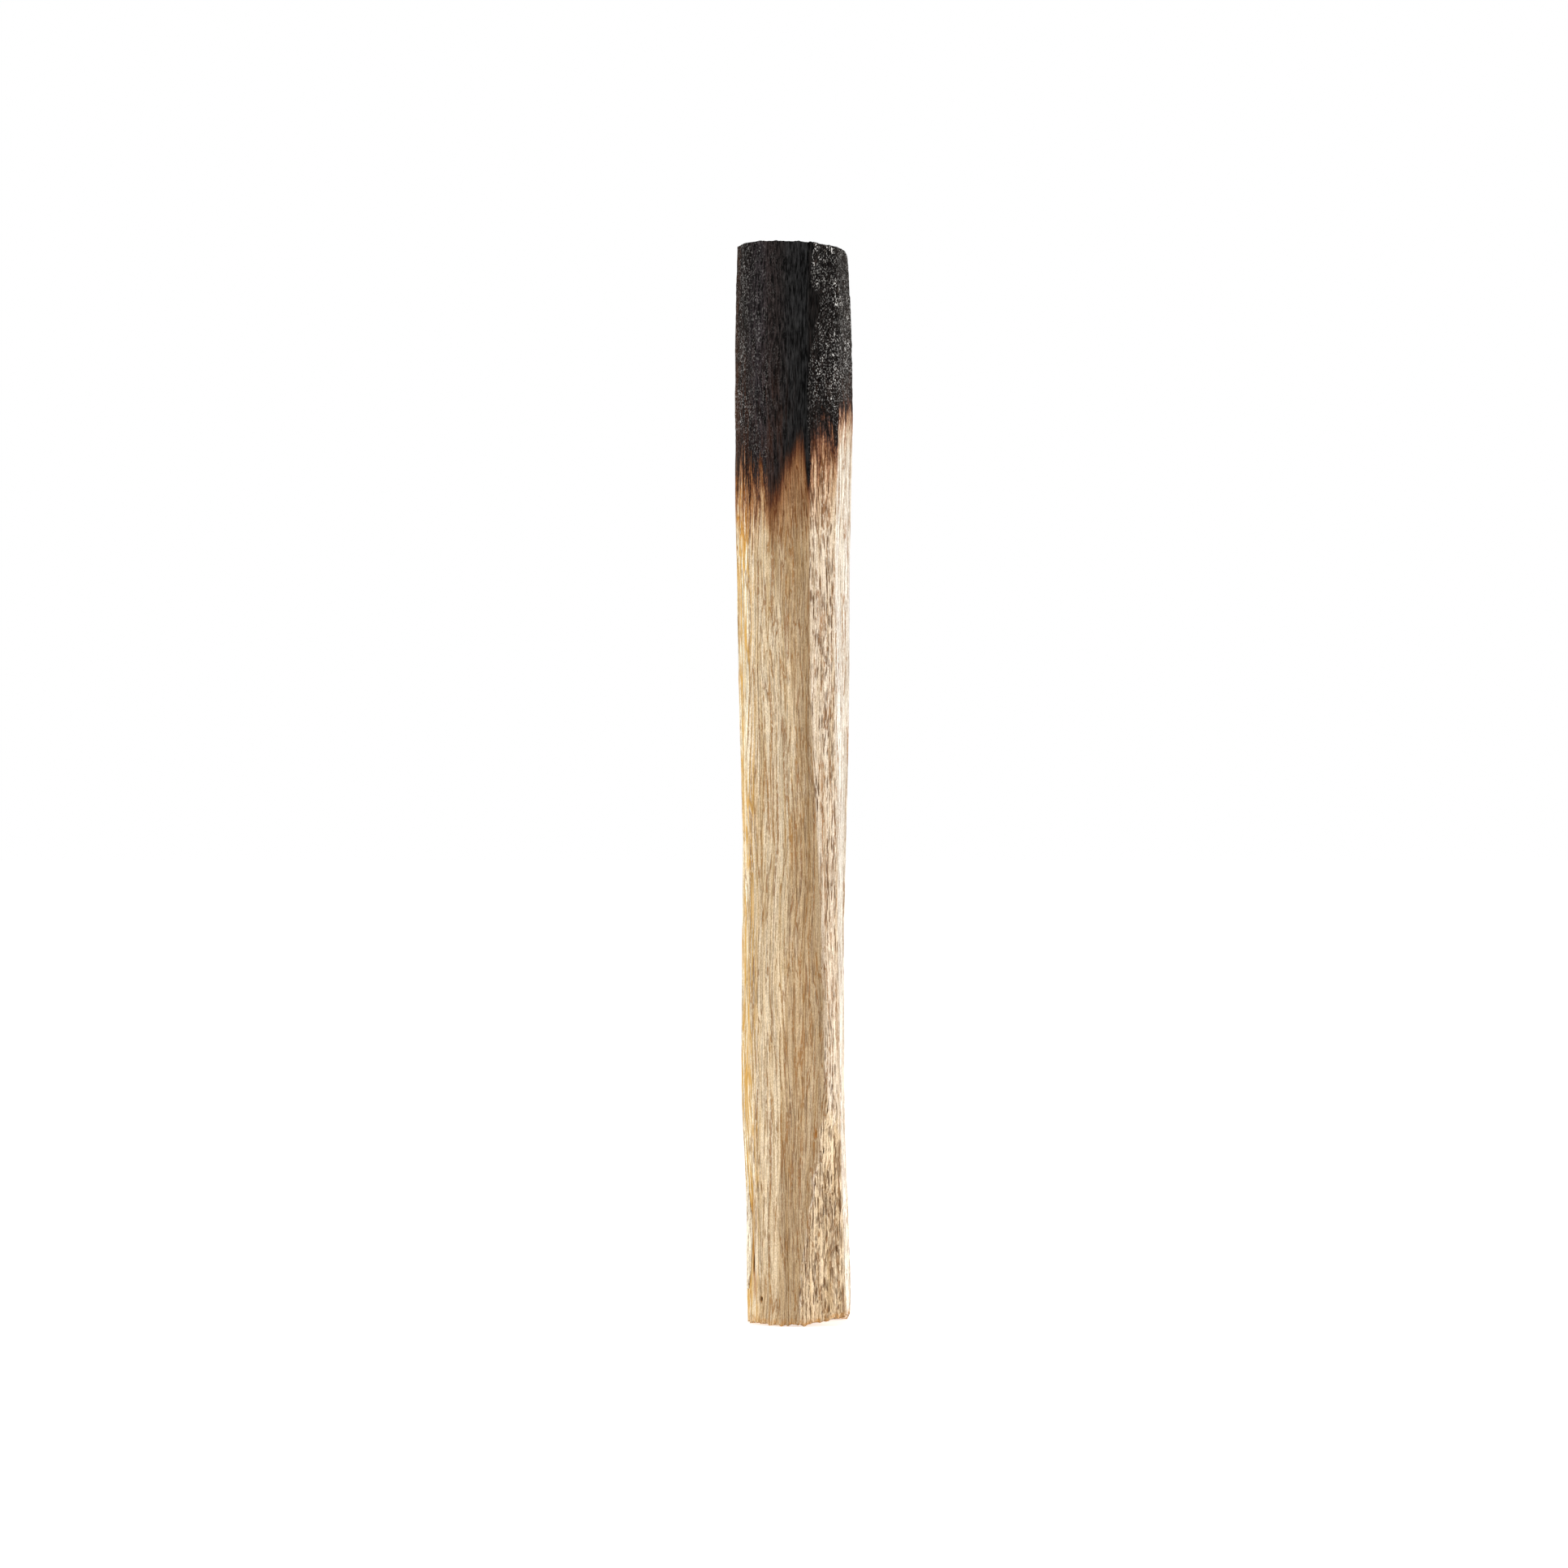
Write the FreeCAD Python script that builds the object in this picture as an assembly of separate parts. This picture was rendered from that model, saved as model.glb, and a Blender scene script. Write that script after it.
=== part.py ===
"""A short riven stick of pale wood, sawn square at the butt and burnt black at its upper end.

The stick stands on its butt. +Z points to the burnt end, -Y to the broad front with its
lengthwise hollow, and +Y to the flat riven back. The origin is the middle of the butt.
"""
import FreeCAD, Part
import math
import os

# Driving dimensions, in millimetres.
LENGTH = 100.0
BACK_Y = 4.5
CROWN_RADIUS = 30.0
CROWN_X = -1.6
CROWN_Y = -2.5

# The lengthwise edges, in order round the front of the stick from the left of the back to
# the right. Each has its x at equal heights from butt to tip, then its y at the butt and
# at the tip. The two back edges lie past the back plane, which trims them.
BEHIND_BACK = 6.0
EDGES = {
    "left_back": ((-4.1, -4.5, -4.6, -4.8, -5.2, -5.0), BEHIND_BACK, BEHIND_BACK),
    "left_flank": ((-4.5, -4.9, -4.95, -5.2, -5.6, -5.4), -0.5, -0.7),
    "left_bevel": ((-3.85, -4.1, -4.3, -4.5, -4.7, -4.7), -2.7, -2.9),
    "hollow_left": ((-1.7, -1.1, -0.8, -0.5, -2.9, -2.7), -4.5, -4.2),
    "hollow_floor": ((-0.7, 1.0, 1.1, 0.6, -0.4, -0.4), -4.42, -3.95),
    "hollow_right": ((0.1, 2.6, 2.3, 1.3, 1.25, 1.2), -4.68, -4.15),
    "step_top": ((0.25, 2.75, 2.4, 1.4, 1.35, 1.3), -4.95, -4.6),
    "right_bevel": ((4.3, 4.0, 3.8, 3.6, 3.8, 3.9), -3.6, -3.7),
    "right_flank": ((4.95, 4.65, 4.75, 4.9, 5.2, 4.8), -0.8, -0.6),
    "right_back": ((4.5, 4.3, 4.4, 4.6, 4.8, 4.5), BEHIND_BACK, BEHIND_BACK),
}

# The burn eats inwards, so the wood it has not reached narrows to a blunt point.
POINT_SLOPE = 2.3
POINT_BLUNT_RADIUS = 0.5
POINT_BASE_RADIUS = 12.0
SOUND_POINT_Z = 88.5
SOUND_POINT_X = 1.4
SCORCH_POINT_Z = 94.0
SCORCH_POINT_X = 0.7

# The torn lath: the front layer to the right of the step, below the notch.
LATH_TOP_Z = 21.5
LATH_LEFT_X = (0.15, 2.65)
LATH_RIGHT_X = (4.4, 3.85)
LATH_INNER_Y_LEFT = (-4.1, -4.5)
LATH_INNER_Y_RIGHT = (-2.8, -3.6)

# The thin sliver that has parted from the lower left edge.
SLIVER_Z = (3.2, 12.6)
SLIVER_RIGHT_X = (-3.9, -4.4)
SLIVER_BACK_Y = (-0.3, -0.6)

# Loose scales of crust on the right-hand facet of the charcoal.
FLAKE_COUNT = 9
FLAKE_FIRST_Z = 84.2
FLAKE_PITCH = 1.6
FLAKE_SIDE_SHARES = (0.36, 0.68)
FLAKE_RADIUS = 0.68
FLAKE_RADIUS_SPREAD = 0.14
FLAKE_STRETCH = 1.2
FLAKE_SIDES = 6
FLAKE_CORNER_SWAY = 0.3
FLAKE_RADIUS_SWAY = 0.2
FLAKE_PROUD = 0.2
FLAKE_ROOT = 0.45
SLOPE_STEP = 0.5

# Splinters: foot (x, z), length, width and lean away from the wood in degrees.
SPLINTERS = (
    (2.0, 17.2, 2.6, 0.34, 5.0),
    (3.4, 9.5, 3.4, 0.30, 4.0),
    (3.1, 26.5, 2.4, 0.22, 4.0),
    (-2.6, 46.0, 2.8, 0.20, 3.0),
)
SPLINTER_ROOT = 0.9
SPLINTER_TIP_SHARE = 0.12

BEYOND = 10.0


def polygon(points):
    """Closed wire through the points."""
    return Part.makePolygon([FreeCAD.Vector(*point) for point in points + points[:1]])


def section(station, stations):
    """Outline of the stick at one of the equal heights, straight from edge to edge."""
    share = station / (stations - 1)
    points = []
    for xs, y_butt, y_tip in EDGES.values():
        y = y_butt + (y_tip - y_butt) * share
        points.append((xs[station], y, LENGTH * share))
    return polygon(points)


def box_between(low, high):
    """Box from its lowest to its highest corner."""
    size = [b - a for a, b in zip(low, high)]
    return Part.makeBox(*size, FreeCAD.Vector(*low))


def whole_stick():
    """The stick's outside: riven facets, flat back, square butt and a worn, rounded tip."""
    stations = len(EDGES["left_flank"][0])
    outline = Part.makeLoft([section(i, stations) for i in range(stations)], True, False)
    behind = box_between((-BEYOND, BACK_Y, -BEYOND), (BEYOND, BACK_Y + BEYOND, LENGTH + BEYOND))
    crown_centre = FreeCAD.Vector(CROWN_X, CROWN_Y, LENGTH - CROWN_RADIUS)
    crown = Part.makeSphere(CROWN_RADIUS, crown_centre)
    above = box_between((-BEYOND, -BEYOND, LENGTH / 2), (BEYOND, BEYOND, LENGTH + BEYOND))
    return outline.cut(behind).cut(above.cut(crown))


def unburnt(point_z, point_x):
    """All space that one burn front has not reached: a column that ends in a blunt point."""
    shoulder_z = point_z - POINT_SLOPE * (POINT_BASE_RADIUS - POINT_BLUNT_RADIUS)
    profile = polygon([
        (point_x, 0, -BEYOND),
        (point_x + POINT_BASE_RADIUS, 0, -BEYOND),
        (point_x + POINT_BASE_RADIUS, 0, shoulder_z),
        (point_x + POINT_BLUNT_RADIUS, 0, point_z),
        (point_x, 0, point_z),
    ])
    axis_point = FreeCAD.Vector(point_x, 0, 0)
    return Part.Face(profile).revolve(axis_point, FreeCAD.Vector(0, 0, 1), 360)


def lath_space():
    """Space of the torn lath: it thins from the butt to where it still holds on."""
    sections = []
    for end, z in enumerate((0, LATH_TOP_Z)):
        sections.append(polygon([
            (LATH_LEFT_X[end], -BEYOND, z),
            (LATH_LEFT_X[end], LATH_INNER_Y_LEFT[end], z),
            (LATH_RIGHT_X[end], LATH_INNER_Y_RIGHT[end], z),
            (LATH_RIGHT_X[end], -BEYOND, z),
        ]))
    return Part.makeLoft(sections, True, True)


def sliver_space():
    """Space of the thin sliver on the lower left edge."""
    sections = []
    for end, z in enumerate(SLIVER_Z):
        sections.append(polygon([
            (-BEYOND, -BEYOND, z),
            (SLIVER_RIGHT_X[end], -BEYOND, z),
            (SLIVER_RIGHT_X[end], SLIVER_BACK_Y[end], z),
            (-BEYOND, SLIVER_BACK_Y[end], z),
        ]))
    return Part.makeLoft(sections, True, True)


def front_y(stick, x, z):
    """Depth of the stick's front at one place: where a line from the front first meets it."""
    start = FreeCAD.Vector(x, -BEYOND, z)
    line = Part.makeLine(start, FreeCAD.Vector(x, 0, z))
    return stick.common(line).BoundBox.YMin


def outside_of(stick, body):
    """The part of a body that stands clear of the stick, without stray crumbs."""
    return max(body.cut(stick).Solids, key=lambda solid: solid.Volume)


def flake(stick, index):
    """One scale of crust: a small irregular plate that lies on the right-hand facet."""
    z = FLAKE_FIRST_Z + FLAKE_PITCH * index
    left_x, right_x = EDGES["step_top"][0][-1], EDGES["right_bevel"][0][-1]
    x = left_x + (right_x - left_x) * FLAKE_SIDE_SHARES[index % len(FLAKE_SIDE_SHARES)]
    middle = FreeCAD.Vector(x, front_y(stick, x, z), z)
    beside = FreeCAD.Vector(x + SLOPE_STEP, front_y(stick, x + SLOPE_STEP, z), z)
    across = (beside - middle).normalize()
    up = FreeCAD.Vector(0, 0, 1)
    out = across.cross(up)
    size = FLAKE_RADIUS + FLAKE_RADIUS_SPREAD * math.sin(4 * index)
    corners = []
    for corner in range(FLAKE_SIDES):
        sway = FLAKE_CORNER_SWAY * math.sin(3 * index + 2 * corner)
        angle = 2 * math.pi * (corner + sway) / FLAKE_SIDES
        radius = size * (1 + FLAKE_RADIUS_SWAY * math.sin(5 * index + 3 * corner))
        corners.append(middle - out * FLAKE_ROOT + across * (radius * math.cos(angle))
                       + up * (radius * FLAKE_STRETCH * math.sin(angle)))
    plate = Part.Face(Part.makePolygon(corners + corners[:1]))
    return outside_of(stick, plate.extrude(out * (FLAKE_ROOT + FLAKE_PROUD)))


def splinter(stick, foot_x, foot_z, length, width, lean):
    """One splinter: a thin three-sided spike, rooted in the surface and leaning off it."""
    foot = FreeCAD.Vector(foot_x, front_y(stick, foot_x, foot_z), foot_z)
    along = FreeCAD.Vector(0, -math.sin(math.radians(lean)), math.cos(math.radians(lean)))
    start = foot - along * SPLINTER_ROOT
    rings = []
    for centre, scale in ((start, 1.0), (foot + along * length, SPLINTER_TIP_SHARE)):
        half = width * scale / 2
        rings.append(polygon([
            (centre.x - half, centre.y + half, centre.z),
            (centre.x + half, centre.y + half, centre.z),
            (centre.x, centre.y - half, centre.z),
        ]))
    return outside_of(stick, Part.makeLoft(rings, True, True))


def build():
    """Every separate body of the stick, by node name."""
    stick = whole_stick()
    sound_space = unburnt(SOUND_POINT_Z, SOUND_POINT_X)
    scorch_space = unburnt(SCORCH_POINT_Z, SCORCH_POINT_X)
    lath = lath_space()
    sliver = sliver_space()
    flakes = [flake(stick, index) for index in range(FLAKE_COUNT)]
    splinters = [splinter(stick, *spec) for spec in SPLINTERS]
    return {
        "sound_wood": stick.common(sound_space).cut(lath).cut(sliver),
        "scorched_wood": stick.common(scorch_space).cut(sound_space),
        "charcoal_end": stick.cut(scorch_space),
        "char_flakes": Part.makeCompound(flakes),
        "torn_lath": stick.common(lath),
        "edge_sliver": stick.common(sliver),
        "lifted_splinters": Part.makeCompound(splinters),
    }


os.makedirs("parts", exist_ok=True)
for name, shape in build().items():
    print(name, "solids", len(shape.Solids), "volume", round(shape.Volume, 3),
          "valid", shape.isValid(), shape.BoundBox)
    shape.exportStep("parts/" + name + ".step")
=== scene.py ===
"""Looks of the burnt-end wood stick: riven grain, torn fibres, scorch and charcoal."""
import itertools
import math

import bpy
import numpy as np
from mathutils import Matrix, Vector
from mathutils.bvhtree import BVHTree


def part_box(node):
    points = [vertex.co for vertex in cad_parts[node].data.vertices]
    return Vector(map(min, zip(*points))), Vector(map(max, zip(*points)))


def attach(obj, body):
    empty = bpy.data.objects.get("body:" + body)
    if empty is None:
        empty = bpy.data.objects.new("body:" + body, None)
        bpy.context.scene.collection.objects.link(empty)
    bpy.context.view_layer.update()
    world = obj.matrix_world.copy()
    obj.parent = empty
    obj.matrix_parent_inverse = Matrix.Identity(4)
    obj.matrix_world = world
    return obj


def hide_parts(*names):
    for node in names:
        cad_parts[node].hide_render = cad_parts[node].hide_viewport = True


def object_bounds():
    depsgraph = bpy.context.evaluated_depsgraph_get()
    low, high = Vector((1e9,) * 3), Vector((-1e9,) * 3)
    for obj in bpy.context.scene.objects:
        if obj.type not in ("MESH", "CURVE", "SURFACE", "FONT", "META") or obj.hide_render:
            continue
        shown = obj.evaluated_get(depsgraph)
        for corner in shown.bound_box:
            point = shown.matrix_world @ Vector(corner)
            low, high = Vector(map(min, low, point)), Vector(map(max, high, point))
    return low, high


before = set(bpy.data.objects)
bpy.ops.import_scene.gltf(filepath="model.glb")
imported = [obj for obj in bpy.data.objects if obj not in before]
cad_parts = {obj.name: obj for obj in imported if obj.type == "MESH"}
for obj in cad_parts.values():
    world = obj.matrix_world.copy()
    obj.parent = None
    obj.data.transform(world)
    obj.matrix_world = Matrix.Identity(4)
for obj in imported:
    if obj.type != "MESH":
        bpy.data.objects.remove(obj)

MM = 0.001
FULL_TURN = 2 * math.pi

# The frame gives every size: the stick's length, its half width and its pieces' boxes.
cad_low, cad_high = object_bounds()
LENGTH = cad_high.z - cad_low.z
HALF = (cad_high.x - cad_low.x) / 2
SOUND_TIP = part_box("sound_wood")[1].z
SCORCH_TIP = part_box("scorched_wood")[1].z
LATH_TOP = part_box("torn_lath")[1].z

# How finely the surface is sampled: points round the stick, and rows of each stretch of it.
COLUMNS = 460
TORN_ROWS = 76
PLAIN_ROWS = 112
TONGUE_ROWS = 28
SCORCHED_ROWS = 60
CHARRED_ROWS = 134
LATH_GRID = (160, 80)
SLIVER_GRID = (60, 9)
CONE_STEPS = 8
TABLE_ROWS = 251
TABLE_COLUMNS = 720
BOUNDARY_STEPS = 14

# How often the CAD's edges are softened: everywhere, and where the step is worn away.
EDGE_WEAR = 3
STEP_WEAR = 220

# No burn front comes down lower than this share of the length.
LOWEST_FRONT = 0.6

# Broken wood: mm missing at the butt's front right corner, mm of the lath's thickness at the
# butt and at its upper end, and how much of the CAD sliver's width the thin sliver takes.
BROKEN_CORNER = 0.65
LATH_THICKNESS = (0.62, 0.10)
SLIVER_SHARE = 0.6

# Splinters and loose scales, and how many points and rings make one of them.
SPLINTER_COUNT = 90
SPIKE_SIDES = 5
SPIKE_RINGS = 7
FLAKE_COUNT = 210
FLAKE_SPOKES = 9

# Lines that run up the front, as (share of the length, share of the half width).
BEVEL_LEFT = ((0.0, -0.70), (0.2, -0.75), (0.5, -0.79), (0.7, -0.81), (1.0, -0.86))
HOLLOW_LEFT = ((0.0, -0.34), (0.2, -0.22), (0.4, -0.12), (0.55, 0.0), (0.60, -0.08),
               (0.64, -0.20), (0.74, -0.47), (1.0, -0.50))
STEP = ((0.0, 0.01), (0.055, 0.13), (0.10, 0.22), (0.14, 0.31), (0.175, 0.41),
        (0.206, 0.50), (0.32, 0.46), (0.4, 0.43), (0.5, 0.31), (0.6, 0.24), (1.0, 0.24))
BEVEL_RIGHT = ((0.0, 0.86), (0.04, 0.82), (0.14, 0.77), (0.32, 0.73), (0.47, 0.69),
               (0.66, 0.66), (0.85, 0.72), (1.0, 0.72))

# How far the narrow sides sway off the CAD's straight facets: height as a share of the
# length, then the left and the right side's shift in mm, outwards positive.
SIDE_SWAY = (
    (0.00, -0.10, 0.10), (0.03, -0.18, 0.30), (0.10, -0.42, 0.28), (0.15, -0.25, 0.05),
    (0.21, 0.08, -0.10), (0.36, -0.05, -0.20), (0.45, -0.20, -0.08), (0.57, 0.02, 0.15),
    (0.70, 0.0, 0.0), (0.88, 0.0, 0.18), (1.0, 0.0, 0.0),
)

# Left border of the flaking crust on the burnt end, in the same shares.
CRUST_LEFT = ((0.80, 0.24), (0.86, 0.20), (0.888, 0.24), (0.907, 0.31), (0.922, 0.34),
              (0.933, 0.42), (0.948, 0.42), (0.959, 0.26), (0.974, 0.28), (1.0, 0.32))

# How the burn comes down the wood: degrees round the stick from the front towards the right,
# then the heights where the wood is black, half burnt and pale, as shares of the length.
BURN_REACH = (
    (-180, 0.845, 0.805, 0.760), (-132, 0.835, 0.780, 0.720), (-83, 0.806, 0.760, 0.713),
    (-58, 0.804, 0.757, 0.713), (-46, 0.802, 0.756, 0.720), (-36, 0.792, 0.748, 0.722),
    (-31, 0.783, 0.740, 0.716), (-24, 0.783, 0.743, 0.712), (-18, 0.792, 0.754, 0.712),
    (-15, 0.804, 0.768, 0.711), (-12, 0.809, 0.776, 0.710), (-4, 0.819, 0.787, 0.710),
    (5, 0.830, 0.796, 0.711), (10, 0.828, 0.794, 0.712), (12.5, 0.814, 0.782, 0.714),
    (14, 0.795, 0.768, 0.718), (16.3, 0.770, 0.750, 0.728), (17.5, 0.842, 0.792, 0.730),
    (37, 0.845, 0.792, 0.730), (43, 0.832, 0.790, 0.742), (45.5, 0.810, 0.788, 0.752),
    (50, 0.846, 0.830, 0.804), (64, 0.852, 0.836, 0.806), (82, 0.858, 0.840, 0.806),
    (134, 0.840, 0.800, 0.760), (180, 0.845, 0.805, 0.760),
)

# Soot round the burnt end: degrees, then red, green and blue from 0 to 255, then how much
# painted glint, painted sheen and dark cracks it gets (the glinting places are also shinier), and
# how much of it still shows brown wood.
SOOT = (
    (-180, 32, 30, 29, 0.35, 0.2), (-95, 44, 33, 27, 0.50, 0.5), (-80, 58, 38, 26, 0.55, 1.0),
    (-70, 25, 18, 15, 0.62, 0.8), (-56, 23, 18, 16, 0.58, 0.6), (-49, 36, 31, 32, 0.45, 0.3),
    (-38, 46, 41, 43, 0.30, 0.2), (-31, 42, 35, 34, 0.16, 0.5), (-20, 37, 32, 31, 0.06, 0.4),
    (-11, 36, 35, 35, 0.03, 0.1), (14, 36, 36, 36, 0.0, 0.0), (17, 27, 25, 24, 1.0, 0.1),
    (44, 23, 21, 20, 1.0, 0.1), (52, 33, 30, 28, 0.95, 0.3), (80, 38, 33, 30, 0.85, 0.4),
    (134, 31, 28, 26, 0.4, 0.4), (180, 32, 30, 29, 0.35, 0.2),
)

# Small pits and splits in the front: x as a share of the half width, height as a share of the
# length, then width, height and depth in mm.
MARKS = (
    (0.345, 0.178, 0.10, 0.45, 0.12), (-0.575, 0.024, 0.09, 0.22, 0.26),
    (-0.705, 0.056, 0.06, 0.80, 0.20), (-0.715, 0.007, 0.08, 0.10, 0.18),
    (0.82, 0.807, 0.06, 0.06, 0.18), (-0.525, 0.231, 0.05, 0.22, 0.12),
    (-0.685, 0.036, 0.13, 1.80, 0.085), (-0.710, 0.070, 0.10, 1.80, 0.085),
    (-0.735, 0.105, 0.09, 2.20, 0.080),
)


# ------------ numbers and noise

def smooth(low, high, value):
    """0 below low, 1 above high, with a soft S between them."""
    share = np.clip((value - low) / (high - low), 0.0, 1.0)
    return share * share * (3 - 2 * share)


def past(border, soft, value):
    """0 before a border, 1 past it, with a soft change over `soft` mm on both sides."""
    return smooth(border - soft * MM, border + soft * MM, value)


def line_x(line, z):
    """Where a line of the front is at height z."""
    heights, shares = zip(*line)
    return HALF * np.interp(z / LENGTH, heights, shares)


LATTICE_SIZE = 64
SEED_STEP = 7.31
LATTICE = np.random.default_rng(5).uniform(-1, 1, (LATTICE_SIZE,) * 3)


def noise(points, across, along, seed):
    """Smooth noise from -1 to 1 in cells that are `across` wide and `along` tall, in mm."""
    place = points / (np.array([across, across, along]) * MM) + SEED_STEP * seed
    cell = np.floor(place).astype(int)
    part = place - cell
    part = part * part * (3 - 2 * part)
    near, far = cell % LATTICE_SIZE, (cell + 1) % LATTICE_SIZE
    sides = [((near[..., axis], 1 - part[..., axis]), (far[..., axis], part[..., axis]))
             for axis in range(3)]
    total = 0.0
    for (x, share_x), (y, share_y), (z, share_z) in itertools.product(*sides):
        total = total + share_x * share_y * share_z * LATTICE[x, y, z]
    return total


def crease(points, across, along, seed):
    """Narrow valleys (near -1) between broad rounded ridges (near 1)."""
    return 2 * np.sqrt(np.abs(noise(points, across, along, seed))) - 1


def terrace(points, across, along, seed, steps):
    """Noise cut into flat steps with short slopes between, like layers torn off one by one."""
    level = steps * noise(points, across, along, seed)
    whole = np.floor(level)
    return (whole + smooth(0.35, 0.65, level - whole)) / steps


# ------------ the CAD surface

def cad_tree(*nodes):
    """One search tree over the surfaces of some CAD nodes."""
    corners, faces = [], []
    for node in nodes:
        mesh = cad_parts[node].data
        first = len(corners)
        corners.extend(vertex.co.copy() for vertex in mesh.vertices)
        faces.extend([first + index for index in face.vertices] for face in mesh.polygons)
    return BVHTree.FromPolygons(corners, faces)


OUTSIDE = cad_tree("sound_wood", "scorched_wood", "charcoal_end", "torn_lath", "edge_sliver")
FAR = 4 * HALF
RIM_CLEARANCE = 0.9 * MM
TABLE_Z = np.linspace(cad_low.z + 0.02 * MM, cad_high.z - RIM_CLEARANCE, TABLE_ROWS)
TABLE_ANGLE = np.linspace(0, FULL_TURN, TABLE_COLUMNS, endpoint=False)


def radius_at(angle, z, tree=OUTSIDE):
    """Distance from the axis to a CAD surface, by a ray from outside; 0 where it misses."""
    out = Vector((math.cos(angle), math.sin(angle), 0))
    hit = tree.ray_cast(out * FAR + Vector((0, 0, z)), -out)[0]
    return math.hypot(hit.x, hit.y) if hit else 0.0


def softened(table, times):
    """The table with its edges worn round; each time takes a little more off them."""
    for _ in range(times):
        table = (np.roll(table, 1, axis=1) + 2 * table + np.roll(table, -1, axis=1)) / 4
    return table


def side_sway():
    """Shift of the narrow sides at each height and angle of the table, in metres."""
    heights, left, right = zip(*SIDE_SWAY)
    share, x = (TABLE_Z / LENGTH)[:, None], np.cos(TABLE_ANGLE)
    shift = smooth(0.3, 0.9, -x) * np.interp(share, heights, left)
    return MM * (shift + smooth(0.3, 0.9, x) * np.interp(share, heights, right))


def radius_table():
    """Radii of the CAD surface by height and angle, with its edges worn a little round.

    The step is worn away where the torn lath lies against it and near the burnt top.
    """
    table = np.array([[radius_at(angle, z) for angle in TABLE_ANGLE] for z in TABLE_Z])
    table = softened(table, EDGE_WEAR)
    z = TABLE_Z[:, None]
    away = (table * np.cos(TABLE_ANGLE) - line_x(STEP, z)) / (1.7 * MM)
    worn = 1 - smooth(0.85 * LATH_TOP, LATH_TOP, z) + smooth(0.86 * LENGTH, 0.92 * LENGTH, z)
    worn = worn * np.exp(-away ** 2) * (np.sin(TABLE_ANGLE) < 0)
    return table + (softened(table, STEP_WEAR) - table) * worn + side_sway()


TABLE = radius_table()


def table_row(z):
    """Row of the table that a height falls on, with its fraction."""
    return (z - TABLE_Z[0]) / (TABLE_Z[-1] - TABLE_Z[0]) * (TABLE_ROWS - 1)


def base_radius(angle, z):
    """Radius of the worn CAD surface at any angle and height, read between the table's rows."""
    row = np.clip(table_row(z), 0, TABLE_ROWS - 1.001)
    column = (angle / FULL_TURN * TABLE_COLUMNS) % TABLE_COLUMNS
    row0, column0 = row.astype(int), column.astype(int) % TABLE_COLUMNS
    column1 = (column0 + 1) % TABLE_COLUMNS
    row_part, column_part = row - row0, column - np.floor(column)
    low, high = [TABLE[line, column0] * (1 - column_part) + TABLE[line, column1] * column_part
                 for line in (row0, row0 + 1)]
    return low * (1 - row_part) + high * row_part


def even_angles(count):
    """Angles that split the stick's outline at mid height into equal lengths."""
    middle = TABLE[TABLE_ROWS // 2]
    x, y = middle * np.cos(TABLE_ANGLE), middle * np.sin(TABLE_ANGLE)
    steps = np.hypot(np.roll(x, -1) - x, np.roll(y, -1) - y)
    walked = np.concatenate([[0], np.cumsum(steps)])
    angles = np.append(TABLE_ANGLE, FULL_TURN)
    return np.interp(np.linspace(0, walked[-1], count, endpoint=False), walked, angles)


ANGLES = even_angles(COLUMNS)


def front_angle(x, z):
    """Angle at which the front of the stick stands at x, at height z."""
    front = TABLE_ANGLE > math.pi
    across = TABLE[round(table_row(z))][front] * np.cos(TABLE_ANGLE[front])
    return np.interp(x, across, TABLE_ANGLE[front])


# ------------ zones of the surface

# Each lengthwise zone: its colour from 0 to 255, how golden its lines are, how full of vessel
# dashes it is, and how far the burn's border breaks up into streaks in it. The colours are partly
# the wood's own and partly painted light: both edge facets are painted paler, as if lit from the
# sides, and the hollow darker, as painted shade.
ZONE_LOOKS = {
    "left_edge": ((252, 247, 224), 1.0, 0.15, 1.5),
    "left": ((229, 213, 186), 0.2, 0.35, 1.3),
    "hollow": ((190, 168, 138), 0.12, 0.5, 0.35),
    "right": ((232, 218, 199), 0.05, 1.0, 1.1),
    "right_edge": ((233, 229, 221), 0.05, 0.35, 1.6),
    "back": ((216, 197, 168), 0.3, 0.6, 1.4),
}
TINTS, AMBER, PORES, STREAKY = [dict(zip(ZONE_LOOKS, column))
                                for column in zip(*ZONE_LOOKS.values())]


def step_x(z):
    """Where the step is at height z; beside the torn lath it is ragged."""
    along = np.stack([0 * z, 0 * z, z], axis=-1)
    ragged = 0.26 * noise(along, 1, 1.5, 3) + 0.12 * noise(along, 1, 0.4, 4)
    return line_x(STEP, z) + ragged * MM * (1 - smooth(0.8 * LATH_TOP, LATH_TOP, z))


def read_round(table, points):
    """Columns of a table that goes by degrees from the front, read at the points' places."""
    degrees, *columns = zip(*table)
    place = np.degrees(np.arctan2(points[..., 0], -points[..., 1]))
    return [np.interp(place, degrees, column) for column in columns]


def zones(points):
    """How far each point belongs to each lengthwise facet, from 0 to 1."""
    x, y, z = points[..., 0], points[..., 1], points[..., 2]
    front = 1 - past(0.0, 0.4, y)
    after_bevel = past(line_x(BEVEL_LEFT, z), 0.28, x)
    after_hollow = past(line_x(HOLLOW_LEFT, z), 0.28, x)
    after_step = past(step_x(z), 0.07, x)
    after_right = past(line_x(BEVEL_RIGHT, z), 0.14, x)
    side = smooth(0.0, 0.3, np.abs(x) / HALF - 0.55) * (1 - front)
    return {
        "left_edge": front * (1 - after_bevel) + side * (x < 0),
        "left": front * after_bevel * (1 - after_hollow),
        "hollow": front * after_hollow * (1 - after_step),
        "right": front * after_step * (1 - after_right),
        "right_edge": front * after_right + side * (x > 0),
        "back": (1 - front) * (1 - side),
    }


def shared(zone, table):
    """Blend of one value per zone."""
    return sum(zone[name] * table[name] for name in table) / sum(zone.values())


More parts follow.
